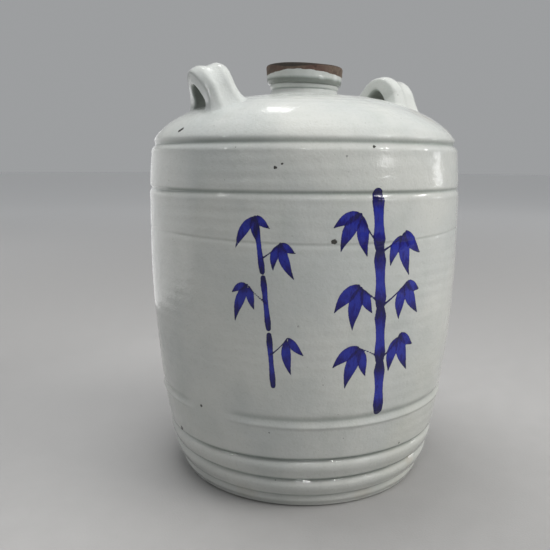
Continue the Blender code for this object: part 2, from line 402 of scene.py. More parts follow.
class Brush:
    """Strokes on the unrolled front of the jar: x runs right from the spray's middle and y up, in metres."""

    def __init__(self, middle_deg):
        self.middle = math.radians(middle_deg)
        self.strokes = []

    def stroke(self, points, widths, load):
        """A stroke through points, its width and ink load changing along it."""
        points = np.array(points, float)
        knots = np.linspace(0, 1, len(points))
        t = np.linspace(0, 1, 22)
        if len(points) == 3:
            shares = np.column_stack([(1 - t) ** 2, 2 * t * (1 - t), t**2])
            path = sum(np.outer(shares[:, k], points[k]) for k in range(3))
        else:
            path = np.column_stack([np.interp(t, knots, points[:, k]) for k in (0, 1)])
        radii = np.interp(t, np.linspace(0, 1, len(widths)), widths) / 2
        loads = np.interp(t, np.linspace(0, 1, len(load)), load)
        self.strokes.append((path, radii, loads))

    def leaf(self, x, y, lean_deg, length, width):
        """A leaf stroke: pressed down after the stem, and lifted to a point. lean_deg is from straight up."""
        lean = math.radians(lean_deg)
        ahead = np.array([math.sin(lean), math.cos(lean)])
        side = np.array([ahead[1], -ahead[0]])
        start = np.array([x, y])
        belly = start + ahead * length * 0.5 + side * length * LEAF_CURL
        shape = (0.16, 0.62, 0.92, 1.0, 0.93, 0.74, 0.50, 0.26, 0.03)
        self.stroke(
            [start, belly, start + ahead * length],
            [width * s for s in shape],
            (1.0, 0.55, 0.25, 0.2, 0.3, 0.45, 0.7, 0.9, 1.0),
        )

    def stem(self, points, width, joints):
        """A cane in separate strokes, each a little wider and darker at its joints."""
        points = np.array(points, float)
        for k in range(joints):
            here, there = (k + 0.04) / joints, (k + 0.93) / joints
            ends = [np.interp([here, there], np.linspace(0, 1, len(points)), points[:, c]) for c in (0, 1)]
            start, stop = np.column_stack(ends)
            self.stroke(
                [start, (start + stop) / 2, stop],
                [width * s for s in (0.9, 1.12, 0.98, 0.86, 0.88, 0.98, 1.14, 0.9)],
                (1.0, 0.7, 0.25, 0.12, 0.2, 0.35, 0.8, 1.0),
            )

    def twig(self, points, width):
        self.stroke(points, (width, width * 0.7, width * 0.55, width * 0.8), (1.0, 0.6, 0.6, 0.9))

    def mark(self, angle, height, ink, load):
        """Adds this spray to the values at the grid's points."""
        x = INK_RADIUS * (angle - self.middle)
        for path, radii, loads in self.strokes:
            low = path.min(0) - radii.max() + INK_OFF
            high = path.max(0) + radii.max() - INK_OFF
            near = (x > low[0]) & (x < high[0]) & (height > low[1]) & (height < high[1])
            place = np.column_stack([x[near], height[near]])
            best = np.full(len(place), INK_OFF)
            load_here = np.zeros(len(place))
            for a, b, ra, rb, la, lb in zip(path, path[1:], radii, radii[1:], loads, loads[1:]):
                along = b - a
                share = np.clip(((place - a) @ along) / max(along @ along, 1e-12), 0, 1)
                apart = np.linalg.norm(place - a - share[:, None] * along, axis=1)
                inside = ra + (rb - ra) * share - apart
                closer = inside > best
                best = np.where(closer, inside, best)
                load_here = np.where(closer, la + (lb - la) * share, load_here)
            crossing = (ink[near] > 0) & (best > 0)
            load[near] = np.where(best > ink[near], load_here, load[near]) + 0.55 * crossing
            ink[near] = np.maximum(ink[near], best)


def large_spray():
    """The right-hand spray: a stout cane with leaves in falling clusters."""
    brush = Brush(-95.0)
    brush.stem([(0.010, 0.092), (0.004, 0.186), (-0.002, 0.281)], 0.0098, 4)
    brush.twig([(0.003, 0.234), (-0.010, 0.247), (-0.016, 0.262)], 0.0022)
    brush.twig([(0.004, 0.232), (0.017, 0.238), (0.026, 0.246)], 0.0020)
    brush.twig([(0.006, 0.187), (-0.008, 0.198), (-0.016, 0.204)], 0.0022)
    brush.twig([(0.006, 0.187), (0.019, 0.195), (0.029, 0.204)], 0.0022)
    brush.twig([(0.008, 0.141), (0.020, 0.150), (0.027, 0.160)], 0.0020)
    brush.twig([(0.008, 0.141), (-0.006, 0.150), (-0.014, 0.152)], 0.0020)
    for x, y, lean, length, width in (
        (0.030, 0.205, 118, 0.017, 0.0060),
        (0.029, 0.204, 150, 0.032, 0.0080),
        (0.026, 0.201, -174, 0.028, 0.0074),
        (-0.016, 0.262, -152, 0.034, 0.0080),
        (-0.017, 0.262, -118, 0.024, 0.0066),
        (-0.014, 0.259, 172, 0.032, 0.0074),
        (0.026, 0.247, 138, 0.026, 0.0072),
        (0.024, 0.245, 168, 0.036, 0.0082),
        (0.021, 0.243, -158, 0.026, 0.0066),
        (-0.016, 0.205, -138, 0.030, 0.0078),
        (-0.014, 0.203, -170, 0.036, 0.0084),
        (-0.012, 0.201, 156, 0.022, 0.0062),
        (0.027, 0.161, 128, 0.020, 0.0060),
        (0.026, 0.160, 160, 0.036, 0.0082),
        (0.023, 0.157, -168, 0.030, 0.0074),
        (-0.014, 0.153, -128, 0.028, 0.0074),
        (-0.012, 0.151, -160, 0.036, 0.0080),
        (-0.010, 0.150, 170, 0.024, 0.0062),
    ):
        brush.leaf(x, y, lean, length, 1.4 * width)
    return brush


def small_spray():
    """The left-hand spray: a slender shoot that leans as it rises, with leaves on alternate sides."""
    brush = Brush(-131.0)
    brush.stem([(0.008, 0.118), (0.003, 0.192), (-0.006, 0.258)], 0.0048, 3)
    brush.twig([(-0.001, 0.226), (0.008, 0.232), (0.014, 0.239)], 0.0016)
    brush.twig([(0.003, 0.190), (-0.007, 0.197), (-0.013, 0.205)], 0.0016)
    brush.twig([(0.006, 0.147), (0.014, 0.153), (0.020, 0.162)], 0.0016)
    for x, y, lean, length, width in (
        (-0.007, 0.259, -148, 0.030, 0.0060),
        (-0.006, 0.260, 178, 0.020, 0.0050),
        (-0.005, 0.260, 132, 0.015, 0.0046),
        (0.015, 0.239, 126, 0.014, 0.0046),
        (0.014, 0.238, 158, 0.031, 0.0062),
        (0.012, 0.237, -170, 0.021, 0.0050),
        (-0.014, 0.205, -122, 0.015, 0.0046),
        (-0.013, 0.204, -160, 0.033, 0.0062),
        (-0.011, 0.203, 168, 0.020, 0.0050),
        (0.021, 0.162, 140, 0.020, 0.0050),
        (0.019, 0.160, 172, 0.031, 0.0060),
    ):
        brush.leaf(x, y, lean, length, 1.35 * width)
    return brush


def brushwork(points):
    """Depth inside the ink, in millimetres plus one so that unpainted is 0, and how heavy the ink is."""
    angle = np.broadcast_to(ANGLES, points.shape[:2])
    height = points[..., 2]
    ink = np.full(angle.shape, INK_OFF)
    load = np.zeros(angle.shape)
    for brush in (large_spray(), small_spray()):
        brush.mark(angle, height, ink, load)
    return np.maximum(ink * 1000 + 1, 0), np.clip(load, 0, 1)


# ---- shader graphs


class Graph:
    """A material, with short ways to add and join its nodes."""

    def __init__(self, name):
        self.material = bpy.data.materials.new(name)
        self.material.use_nodes = True
        self.tree = self.material.node_tree
        self.tree.nodes.clear()
        self.shader = self.add("BsdfPrincipled")
        output = self.add("OutputMaterial")
        self.tree.links.new(self.shader.outputs["BSDF"], output.inputs["Surface"])
        self.place = self.add("TexCoord").outputs["Object"]

    def put(self, socket, value):
        if isinstance(value, bpy.types.NodeSocket):
            self.tree.links.new(value, socket)
        else:
            socket.default_value = value

    def add(self, kind, inputs=None, **settings):
        node = self.tree.nodes.new("ShaderNode" + kind)
        for key, value in settings.items():
            setattr(node, key, value)
        for key, value in (inputs or {}).items():
            self.put(node.inputs[key], value)
        return node

    def math(self, operation, a, b=0.0, clamp=False):
        return self.add("Math", {0: a, 1: b}, operation=operation, use_clamp=clamp).outputs[0]

    def plus(self, a, b):
        return self.math("ADD", a, b)

    def minus(self, a, b):
        return self.math("SUBTRACT", a, b)

    def times(self, a, b):
        return self.math("MULTIPLY", a, b)

    def mix(self, share, a, b):
        """Colour a where share is 0, and b where it is 1."""
        return self.add("Mix", {0: share, 6: a, 7: b}, data_type="RGBA").outputs[2]

    def darken(self, share, colour, by):
        """Multiplies the colour by another, as far as share says."""
        node = self.add("Mix", {0: share, 6: colour, 7: by}, data_type="RGBA", blend_type="MULTIPLY")
        return node.outputs[2]

    def step(self, value, low, high, to_low=0.0, to_high=1.0):
        """Eases from to_low to to_high as value goes from low to high."""
        inputs = {"Value": value, "From Min": low, "From Max": high, "To Min": to_low, "To Max": to_high}
        return self.add("MapRange", inputs, interpolation_type="SMOOTHSTEP").outputs["Result"]

    def noise(self, scale, detail=3.0, roughness=0.5, place=None):
        inputs = {"Vector": place or self.place, "Scale": scale, "Detail": detail, "Roughness": roughness}
        return self.add("TexNoise", inputs).outputs["Fac"]

    def stretched(self, x, y, z):
        """The place with each axis scaled, for noise that runs one way."""
        return self.add("VectorMath", {0: self.place, 1: (x, y, z)}, operation="MULTIPLY").outputs[0]

    def value(self, name):
        """A number kept at the mesh's vertices."""
        return self.add("Attribute", attribute_name=name).outputs["Fac"]

    def grains(self, scale, radius, kept):
        """Round specks: radius in metres, and kept the share of them that show."""
        cells = self.add("TexVoronoi", {"Vector": self.place, "Scale": scale})
        keep = self.add("SeparateColor", {0: cells.outputs["Color"]}).outputs
        size = self.math("MULTIPLY_ADD", keep[1], radius * scale)
        size.node.inputs[2].default_value = radius * scale * 0.35
        inside = self.minus(size, cells.outputs["Distance"])
        shown = self.math("GREATER_THAN", kept, keep[0])
        return self.times(self.step(inside, 0.0, radius * scale * 0.5), shown)

    def spot(self, centre, radius, soft=0.3):
        """1 within radius of a point, and fading out over the last part of it, with a ragged edge."""
        apart = self.add("VectorMath", {0: self.place, 1: centre}, operation="DISTANCE").outputs["Value"]
        ragged = self.frayed(apart, self.noise(1.1 / radius, 2.0), radius * 1.2)
        return self.step(ragged, radius * (1 - soft), radius, 1.0, 0.0)

    def frayed(self, value, noise, reach):
        """The value moved up and down by a noise, reach in all."""
        return self.plus(value, self.times(self.minus(noise, 0.5), reach))

    def relief(self, height):
        """Sets the surface's fine relief, a height in metres."""
        bump = self.add("Bump", {"Height": height, "Distance": 1.0, "Strength": 1.0})
        self.put(self.shader.inputs["Normal"], bump.outputs["Normal"])

    def finish(self, colour, roughness, **constants):
        self.put(self.shader.inputs["Base Color"], colour)
        self.put(self.shader.inputs["Roughness"], roughness)
        for key, value in constants.items():
            self.shader.inputs[key].default_value = value
        return self.material


def on_skin(angle_deg, height):
    """The point on the body's outline at this angle and height."""
    angle = math.radians(angle_deg)
    if height < CREASE:
        radius = float(wall_radius(height))
    else:
        line = np.array(SHOULDER_LINE)
        rising = line[: int(np.argmax(line[:, 1]))]
        radius = float(np.interp(height, rising[:, 1], rising[:, 0]))
    return (radius * math.cos(angle), radius * math.sin(angle), height)


# Iron spots and burst blisters in the glaze: degrees about +Z, height, radius, strength
IRON_SPOTS = (
    (-109.5, 0.2403, 0.0027, 0.95),
    (-105.9, 0.3062, 0.0012, 0.40),
    (-96.9, 0.3142, 0.0019, 0.95),
    (-127.4, 0.2972, 0.0016, 0.95),
    (-125.3, 0.3000, 0.0012, 0.90),
    (-157.4, 0.0884, 0.0017, 0.85),
    (-120.0, 0.1718, 0.0012, 0.35),
    (-129.8, 0.0762, 0.0010, 0.50),
    (-166.6, 0.3285, 0.0020, 0.95),
    (-167.2, 0.3278, 0.0024, 0.95),
    (-167.7, 0.3271, 0.0020, 0.95),
    (-78.0, 0.0540, 0.0014, 0.55),
    (-175.0, 0.0512, 0.0030, 0.95),
    (168.0, 0.1210, 0.0020, 0.70),
    (60.0, 0.2100, 0.0020, 0.70),
    (115.0, 0.1300, 0.0016, 0.60),
    (20.0, 0.3360, 0.0018, 0.55),
    (80.0, 0.3290, 0.0014, 0.60),
)

# Faint rust stains in the glaze: degrees about +Z, height, radius, strength
STAINS = (
    (-58.0, 0.3420, 0.020, 0.34),
    (-47.0, 0.3330, 0.014, 0.30),
    (-142.0, 0.0105, 0.014, 0.22),
    (-92.0, 0.0080, 0.016, 0.22),
    (-67.0, 0.0300, 0.012, 0.26),
    (140.0, 0.0900, 0.022, 0.25),
    (35.0, 0.3460, 0.018, 0.28),
)
GLAZE_LIGHT = (0.565, 0.575, 0.545, 1)
GLAZE_DARK = (0.490, 0.510, 0.495, 1)
GLAZE_WARM = (0.550, 0.545, 0.470, 1)
# Glaze pooled in the cuts with painted shade over it, and the deepest painted shade
GLAZE_POOL_AND_SHADE = (0.62, 0.66, 0.64, 1)
DEEP_SHADE = (0.30, 0.30, 0.27, 1)
IRON = (0.022, 0.019, 0.015, 1)
RUST = (0.33, 0.235, 0.13, 1)
COBALT = (0.004, 0.002, 0.150, 1)
COBALT_THIN = (0.012, 0.020, 0.285, 1)
COBALT_THICK = (0.002, 0.001, 0.062, 1)
CLAY = (0.085, 0.057, 0.041, 1)
CLAY_DARK = (0.022, 0.020, 0.016, 1)
CLAY_PALE = (0.150, 0.113, 0.084, 1)
CLAY_RED = (0.080, 0.041, 0.032, 1)


def glaze_material():
    """White glaze over iron-bearing clay, the cobalt in it, and the clay where the glaze stops."""
    g = Graph("white_glaze")
    cloud = g.noise(9.0, 4.0, 0.55)
    patch = g.noise(34.0, 3.0, 0.5)
    warm = g.noise(5.0, 3.0, 0.5, place=g.stretched(1.0, 1.0, 0.7))
    mottle = g.noise(420.0, 2.0, 0.6)
    run = g.noise(60.0, 3.0, 0.55, place=g.stretched(1.0, 1.0, 0.16))
    colour = g.mix(g.step(cloud, 0.35, 0.68), GLAZE_LIGHT, GLAZE_DARK)
    colour = g.mix(g.step(warm, 0.52, 0.78, 0.0, 0.55), colour, GLAZE_WARM)
    colour = g.darken(g.step(patch, 0.50, 0.74, 0.0, 0.5), colour, (0.90, 0.91, 0.90, 1))
    colour = g.darken(g.step(run, 0.48, 0.75, 0.0, 0.4), colour, (0.92, 0.94, 0.92, 1))
    colour = g.darken(g.step(mottle, 0.50, 0.78, 0.0, 0.5), colour, (0.86, 0.86, 0.83, 1))
    # Painted shade in the cuts, under the lip and bead and inside the ears, over real glaze pooling in the
    # cuts; the deepest part is painted shade only
    colour = g.darken(g.step(g.value("pool"), 0.0, 1.0), colour, GLAZE_POOL_AND_SHADE)
    colour = g.darken(g.step(g.value("pool"), 0.9, 2.0), colour, DEEP_SHADE)

    ink = g.frayed(g.value("ink"), g.noise(650.0, 3.0), 0.55)
    streaks = g.noise(330.0, 3.0, 0.65, place=g.stretched(1.0, 1.0, 0.35))
    load = g.frayed(g.value("ink_load"), streaks, 1.3)
    edge = g.step(ink, 1.15, 1.75, 0.45, 0.0)
    load = g.math("ADD", load, edge, clamp=True)
    cobalt = g.mix(g.step(load, 0.10, 0.62), COBALT_THIN, COBALT)
    cobalt = g.mix(g.step(load, 0.62, 1.0), cobalt, COBALT_THICK)
    painted = g.step(ink, 0.86, 1.22)
    colour = g.mix(painted, colour, cobalt)

    for angle, height, radius, strength in STAINS:
        stain = g.times(g.spot(on_skin(angle, height), radius, 0.9), strength)
        colour = g.mix(g.times(stain, g.step(patch, 0.35, 0.65, 0.25, 1.0)), colour, RUST)
    grains = g.grains(150.0, 0.00055, 0.16)
    dust = g.grains(420.0, 0.00022, 0.30)
    colour = g.mix(g.times(grains, 0.62), colour, IRON)
    colour = g.mix(g.times(dust, 0.40), colour, IRON)
    pit = None
    for angle, height, radius, strength in IRON_SPOTS:
        spot = g.times(g.spot(on_skin(angle, height), radius), strength)
        colour = g.mix(spot, colour, IRON)
        pit = spot if pit is None else g.math("MAXIMUM", pit, spot)

    bare = g.frayed(g.value("bare"), g.noise(300.0, 3.0), 1.2)
    is_bare = g.step(bare, 0.9, 1.25)
    clay_cloud = g.noise(120.0, 4.0, 0.6)
    clay_grit = g.noise(1400.0, 3.0, 0.7)
    clay = g.mix(g.step(clay_cloud, 0.38, 0.66), CLAY, CLAY_PALE)
    clay = g.mix(g.step(clay_grit, 0.48, 0.74, 0.0, 0.8), clay, CLAY_DARK)
    clay = g.mix(g.step(bare, 1.0, 2.0, 0.6, 0.0), clay, CLAY_PALE)
    clay = g.mix(g.step(g.noise(46.0, 3.0, 0.6), 0.45, 0.62, 0.0, 0.8), clay, CLAY_RED)
    clay = g.mix(g.times(g.value("rim"), 0.85), clay, CLAY_DARK)
    colour = g.mix(is_bare, colour, clay)

    peel = g.times(g.noise(360.0, 2.0, 0.45), 0.00017)
    orange = g.times(g.noise(120.0, 2.0, 0.5), 0.00030)
    fine = g.times(g.noise(720.0, 1.0, 0.4), 0.00005)
    sag = g.times(g.noise(34.0, 1.0, 0.4), 0.00040)
    glazed = g.plus(g.plus(peel, orange), g.plus(sag, fine))
    glazed = g.minus(glazed, g.times(grains, 0.00012))
    glazed = g.minus(glazed, g.times(pit, 0.0004))
    grit = g.plus(g.times(clay_grit, 0.00022), g.times(clay_cloud, 0.0005))
    smooth_share = g.minus(1.0, is_bare)
    height = g.plus(g.times(glazed, smooth_share), g.times(grit, is_bare))
    g.relief(height)

    gloss = g.step(g.noise(70.0, 4.0, 0.6), 0.35, 0.70, 0.07, 0.20)
    gloss = g.math("MAXIMUM", gloss, g.times(grains, 0.5))
    roughness = g.math("MAXIMUM", gloss, g.times(is_bare, 0.78))
    return g.finish(colour, roughness, IOR=1.5)


def inside_material():
    """The thin iron wash inside, where no light falls."""
    g = Graph("inside_glaze")
    cloud = g.noise(30.0, 4.0, 0.6)
    rings = g.noise(90.0, 3.0, 0.5, place=g.stretched(0.2, 0.2, 1.0))
    colour = g.mix(g.step(cloud, 0.35, 0.7), (0.16, 0.10, 0.055, 1), (0.30, 0.23, 0.15, 1))
    colour = g.darken(g.step(rings, 0.5, 0.75, 0.0, 0.6), colour, (0.7, 0.66, 0.6, 1))
    g.relief(g.times(g.noise(500.0, 3.0), 0.0003))
    return g.finish(colour, g.step(cloud, 0.3, 0.7, 0.35, 0.6), IOR=1.5)


def cedar_material():
    """Turned cedar: growth rings on the end, their stripes down the side, and dirt from handling."""
    g = Graph("cedar")
    wander = g.noise(40.0, 2.0, 0.5, place=g.stretched(1.0, 1.0, 0.25))
    pith = g.add("VectorMath", {0: g.place, 1: (0.021, 0.034, 0.0)}, operation="SUBTRACT").outputs[0]
    flat = g.add("VectorMath", {0: pith, 1: (1.0, 1.0, 0.04)}, operation="MULTIPLY").outputs[0]
    apart = g.add("VectorMath", {0: flat}, operation="LENGTH").outputs["Value"]
    phase = g.plus(g.times(apart, 620.0), g.times(wander, 2.2))
    ring = g.math("FRACT", phase)
    late = g.step(ring, 0.45, 0.97)
    fibre = g.noise(1500.0, 3.0, 0.65, place=g.stretched(1.0, 1.0, 0.05))
    wear = g.noise(110.0, 4.0, 0.6)
    colour = g.mix(late, (0.50, 0.31, 0.165, 1), (0.27, 0.125, 0.055, 1))
    colour = g.darken(g.step(fibre, 0.4, 0.75, 0.0, 0.8), colour, (0.66, 0.60, 0.52, 1))
    colour = g.darken(g.step(wear, 0.42, 0.72, 0.0, 0.75), colour, (0.50, 0.45, 0.40, 1))
    height = g.plus(g.times(late, 0.00008), g.times(fibre, -0.00016))
    g.relief(height)
    return g.finish(colour, g.step(wear, 0.3, 0.7, 0.55, 0.78), IOR=1.45)


# ---- body pieces

GLAZE = glaze_material()
INSIDE = inside_material()
CEDAR_WOOD = cedar_material()

S_BASE = up_wall(BASE_TOP)
S_DRUM = up_wall(DRUM_SEAM)
S_CREASE = up_wall(CREASE)
S_END = float(BODY.length[-1])
LINING_STEP = 0.006
GLAZE_LINE = 0.0003  # height of the glaze's lower edge on the foot

foot_line = ripples(21, 14, 40, 0.4)


def section_rows(start, stop):
    """Rows of one part of the body's skin, closer together at each groove."""
    centres = [groove.along for groove in GROOVES if start - 0.01 < groove.along < stop + 0.01]
    return graded(start, stop, centres)


def foot_rows():
    """Rows across the underside and round the foot's edge."""
    ring = float(BODY.length[1])
    rounded = [FOOT_START + 0.0005, FOOT_END - 0.0005, S_BASE]
    return np.concatenate([np.linspace(0.0, ring, 14)[:-1], graded(ring, S_BASE, rounded)])


def bareness(points):
    """Millimetres into the bare clay at the foot, plus one: 0 where there is glaze."""
    line = GLAZE_LINE + 0.0005 * foot_line(ANGLES, 0.0)
    inward = np.maximum(0.0, float(wall_radius(0.0)) - FOOT_ROUND - np.hypot(points[..., 0], points[..., 1]))
    return np.clip((line - points[..., 2] + inward) * 1000 + 1, 0.0, 4.0)


class Skin:
    """The outer skin of the whole body, made once so that its pieces meet with no seam."""

    def __init__(self):
        cuts = [0.0, S_BASE, S_DRUM, S_CREASE, S_END]
        parts = [section_rows(a, b) for a, b in zip(cuts, cuts[1:])]
        parts[0] = foot_rows()
        self.ends = np.cumsum([0] + [len(part) - 1 for part in parts])
        self.rows = np.concatenate([parts[0]] + [part[1:] for part in parts[1:]])
        self.points, pool = skin(self.rows)
        self.normals = grid_normals(self.points)
        ink, load = brushwork(self.points)
        self.values = {"pool": pool, "ink": ink, "ink_load": load, "bare": bareness(self.points)}

    def section(self, number, columns):
        """Points, normals and values of one section's outer face at some columns."""
        span = slice(self.ends[number], self.ends[number + 1] + 1)
        values = {key: value[span][:, columns] for key, value in self.values.items()}
        return self.rows[span], self.points[span][:, columns], self.normals[span][:, columns], values


def closed_section(name, body_skin, number, columns=None):
    """One section of the wall as a solid: its outer skin, and its lining back down to where it began."""
    ring = columns is None
    columns = np.arange(len(ANGLES)) if ring else columns
    rows, outer, normals, values = body_skin.section(number, columns)
    count = max(3, math.ceil((rows[-1] - rows[0]) / LINING_STEP))
    inner = lining(np.linspace(rows[-1], rows[0], count))
    points = np.concatenate([outer, inner[:, columns]])
    normals = np.concatenate([normals, grid_normals(inner)[:, columns]])
    values = {key: np.concatenate([value, np.zeros((count, len(columns)))]) for key, value in values.items()}
    slots = np.where(np.arange(len(points)) < len(rows) - 1, 0, 1)
    return grid_object(
        name, points, normals, values, close_columns=ring, caps=None if ring else "columns", slots=slots
    )


def base_piece(body_skin):
    """The foot and the floor above it."""
    columns = np.arange(len(ANGLES))
    rows, outer, normals, values = body_skin.section(0, columns)
    edge = float(wall_radius(BASE_TOP)) - INSET
    radii = np.array([edge - WALL * 0.5, edge - WALL, 0.07, 0.004])
    floor = around(radii[:, None], np.full((4, 1), BASE_TOP), ANGLES)
    up = np.broadcast_to([0.0, 0.0, 1.0], floor.shape)
    points = np.concatenate([outer, floor])
    values = {key: np.concatenate([value, np.zeros((4, len(columns)))]) for key, value in values.items()}
    slots = np.where(np.arange(len(points)) < len(rows), 0, 1)
    return grid_object(
        "jar_base", points, np.concatenate([normals, up]), values, close_rows=False, caps="rows", slots=slots
    )


def build_body():
    body_skin = Skin()
    part_of_jar(base_piece(body_skin), "base", (GLAZE, INSIDE))
    front = np.arange(FRONT_COLUMNS + 1)
    back = np.append(np.arange(FRONT_COLUMNS, len(ANGLES)), 0)
    for number, node in ((1, "lower_wall"), (2, "upper_wall")):
        for side, columns in (("front", front), ("back", back)):
            piece = closed_section(f"{node}_{side}", body_skin, number, columns)
            part_of_jar(piece, node, (GLAZE, INSIDE))
    part_of_jar(closed_section("jar_shoulder", body_skin, 3), "shoulder", (GLAZE, INSIDE))


# ---- neck and lip

NECK_COLUMNS = 264
NECK_ANGLES = np.linspace(0, math.tau, NECK_COLUMNS, endpoint=False)
LIP_GLAZE_LINE = 0.3828  # where the bare clay of the lip starts, before the lip is tipped
LIP_GLAZE_HIGH = math.radians(-116.0)  # the side where the glaze runs highest
NICK_ANGLE = math.radians(-104.0)  # a chip out of the lip's top edge
DARK_SIDE = math.radians(-138.0)  # the side where the painted shadow under the neck's bead and the darkening of the lip's top are heaviest

lip_wobble = ripples(31, 5, 4, 0.03)
lip_ripple = ripples(32, 10, 12, 0.012)
lip_line = ripples(33, 5, 4, 1.0)
lip_line_fine = ripples(34, 10, 22, 1.0)


def eased(points, spacing, blur):
    """A line through points with its corners rounded, at an even spacing."""
    points = np.array(points, float)
    length = np.concatenate([[0.0], np.cumsum(np.linalg.norm(np.diff(points, axis=0), axis=1))])
    fine = np.arange(0.0, length[-1], spacing / 8)
    line = np.column_stack([np.interp(fine, length, points[:, k]) for k in range(points.shape[1])])
    window = np.hanning(2 * int(blur / (spacing / 8)) + 3)
    window /= window.sum()
    padded = np.pad(line, ((len(window) // 2,) * 2, (0, 0)), mode="reflect", reflect_type="odd")
    line = np.column_stack([np.convolve(padded[:, k], window, "valid") for k in range(line.shape[1])])
    return line[::8]


def tipped(points):
    """The neck and lip lean as in the CAD model: heights fall towards SLANT_DIRECTION."""
    share = np.clip((points[..., 2] - SHOULDER_TOP) / (NECK_TOP - SHOULDER_TOP), 0, 1)
    run = points[..., 0] * math.cos(SLANT_DIRECTION) + points[..., 1] * math.sin(SLANT_DIRECTION)
    moved = points.copy()
    moved[..., 2] -= LIP_SLANT * share * run
    return moved


def turned(name, outline, uneven, values, slots=None):
    """A closed ring turned about the axis. uneven(angle, distance) is how far its skin strays, in metres."""
    line = np.array(outline)
    along = np.roll(line, -1, axis=0) - np.roll(line, 1, axis=0)
    out = np.column_stack([along[:, 1], -along[:, 0]])
    out /= np.linalg.norm(out, axis=1)[:, None]
    distance = np.concatenate([[0.0], np.cumsum(np.linalg.norm(np.diff(line, axis=0), axis=1))])
    stray = uneven(NECK_ANGLES, distance[:, None])
    radius = line[:, :1] + out[:, :1] * stray
    height = line[:, 1:] + out[:, 1:] * stray
    points = tipped(around(radius, height, NECK_ANGLES))
    made = {key: value(NECK_ANGLES, line[:, :1], height) for key, value in values.items()}
    return grid_object(name, points, None, made, slots=slots)


def bore_at(height):
    return float(np.interp(height, (SHOULDER_TOP - WALL, LIP_TOP), (BORE_AT_SHOULDER, BORE_AT_LIP)))


def neck_uneven(angle, distance):
    return 0.00012 * lip_wobble(angle, distance) + 0.00006 * lip_ripple(angle, distance)


def build_neck():
    sunk = ((0.052, 0.0012), (0.047, 0.0007), (0.0415, 0.0001))
    flare = [(r, float(shoulder_height(r)) - depth) for r, depth in sunk]
    up = [(0.0362, 0.3632), (0.0333, 0.3648), (0.0321, 0.3668), (0.0315, 0.3684), (0.0323, 0.3694)]
    bead = [(0.0331, 0.3708), (0.0330, 0.3728), (0.0300, NECK_MOUTH)]
    outer = eased(flare + up + bead, 0.0004, 0.0011)
    bore = [(bore_at(h), h) for h in np.linspace(NECK_MOUTH, SHOULDER_TOP - WALL, 14)]
    under = [(r, float(shoulder_height(r)) - 0.004) for r in (0.036, 0.044, 0.050)]
    outline = np.concatenate([outer, np.array(bore), np.array(under)])
    slots = np.where(np.arange(len(outline)) < len(outer), 0, 1)
    neck = turned("jar_neck", outline, neck_uneven, {"pool": neck_shade}, slots)
    part_of_jar(neck, "neck", (GLAZE, INSIDE))


def neck_shade(angle, radius, height):
    """Painted shadow in the line under the neck's bead, most of it on the left, and faint painted shade on
    the bead and above it.
    """
    line = 1.1 * np.exp(-(((height - 0.3686) / 0.0007) ** 2)) * (0.5 + 0.5 * np.cos(angle - DARK_SIDE))
    return line + 0.12 * smooth((height - 0.3692) / 0.0008)


def lip_shade(angle, radius, height):
    """Painted shade along the downward-facing underside of the lip; the rest of the lip is a little darker
    too.
    """
    return 0.25 + 1.30 * smooth((0.3795 - height) / 0.0030)


def lip_rim(angle, radius, height):
    """1 along the top of the lip, where the clay is darker, the band widest and strongest on the left."""
    apart = (angle - DARK_SIDE + math.pi) % math.tau - math.pi
    edge = 0.3892 - 0.0030 * np.exp(-((apart / 0.55) ** 2))
    return smooth((height - edge) / 0.0009) * (0.55 + 0.45 * np.cos(apart))


def lip_bareness(angle, radius, height):
    """The glaze stops short of the rim in a wavy line, and the rim and its inside are bare."""
    wave = np.cos(2 * (angle - LIP_GLAZE_HIGH))
    line = LIP_GLAZE_LINE + 0.0017 * wave + 0.0005 * lip_line(angle, 0.0) + 0.0002 * lip_line_fine(angle, 0.0)
    line = np.where(radius < 0.0300, 0.0, line)
    return np.clip((height - line) * 1000 + 1, 0.0, 4.0)


def lip_uneven(angle, distance):
    """The hand-rolled lip, with a small chip from its top edge."""
    apart = (angle - NICK_ANGLE + math.pi) % math.tau - math.pi
    nick = np.exp(-((apart / 0.045) ** 2) - ((distance - LIP_EDGE) / 0.0016) ** 2)
    return 0.00016 * lip_wobble(angle, distance) + 0.00010 * lip_ripple(angle, distance) - 0.0009 * nick


LIP_OUTLINE = (
    (0.0285, 0.3738),
    (0.0329, 0.3726),
    (0.0348, 0.3734),
    (0.0357, 0.3757),
    (0.0359, 0.3800),
    (0.0363, 0.3850),
    (0.0366, 0.3886),
    (0.0359, 0.3903),
    (0.0333, 0.3903),
    (0.0295, 0.3899),
    (0.0258, 0.3896),
    (0.0239, 0.3886),
    (0.0235, 0.3850),
    (0.0229, 0.3790),
    (0.0226, 0.3762),
    (0.0245, 0.3746),
    (0.0285, 0.3738),
)
LIP_EDGE = 0.0205  # how far along the outline its top outer edge lies
LIP_STEP = 0.00045


def build_lip():
    closed = list(LIP_OUTLINE[:-1]) * 3
    line = eased(closed, LIP_STEP, 0.0011)
    total = float(np.linalg.norm(np.diff(np.array(LIP_OUTLINE), axis=0), axis=1).sum())
    count = int(total / LIP_STEP)
    outline = line[count : 2 * count]
    values = {"pool": lip_shade, "bare": lip_bareness, "rim": lip_rim}
    part_of_jar(turned("lip_roll", outline, lip_uneven, values), "rolled_lip", (GLAZE,))


# ---- the bung

BUNG_GAP = 0.0004
BUNG_CHAMFER = 0.0018
BUNG_STEP = 0.0006

bung_facets = ripples(41, 8, 9, 0.05)


